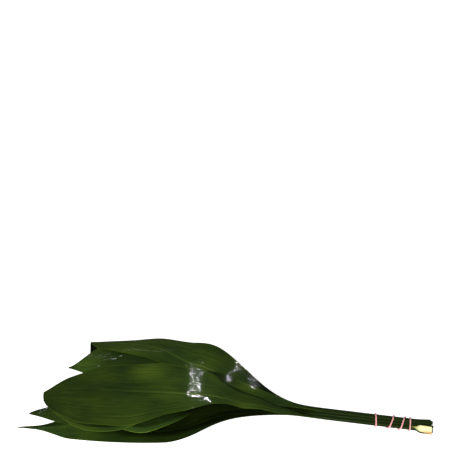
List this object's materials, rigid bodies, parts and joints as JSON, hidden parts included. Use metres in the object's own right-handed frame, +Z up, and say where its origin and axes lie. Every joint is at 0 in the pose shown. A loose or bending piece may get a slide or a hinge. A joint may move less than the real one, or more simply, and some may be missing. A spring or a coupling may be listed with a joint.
{
  "type": "bunch of cut cast iron plant leaves",
  "caption": "Florist's bunch of long-stalked, glossy, pointed oval leaves, stacked like spoons and lying in a sloping fan, the stalks bound near their cut ends with a thin elastic.",
  "frame": {"origin": "centre of the bunch's bounding box, on the table that it lies on", "axes": "+X along the bunch from the leaf tips to the cut ends of the stalks, +Y across it from the low side of the heap of blades to its high side, +Z up"},
  "size_m": [0.7, 0.2009, 0.0936],
  "materials": {
    "leaf": "gloss",
    "elastic": "satin"
  },
  "bodies": {
    "root": {"leaf_01": "leaf", "leaf_02": "leaf", "leaf_03": "leaf", "leaf_04": "leaf", "leaf_05": "leaf", "leaf_06": "leaf", "leaf_07": "leaf", "leaf_08": "leaf", "leaf_09": "leaf", "leaf_10": "leaf", "elastic_tie": "elastic"}
  },
  "joints": []
}
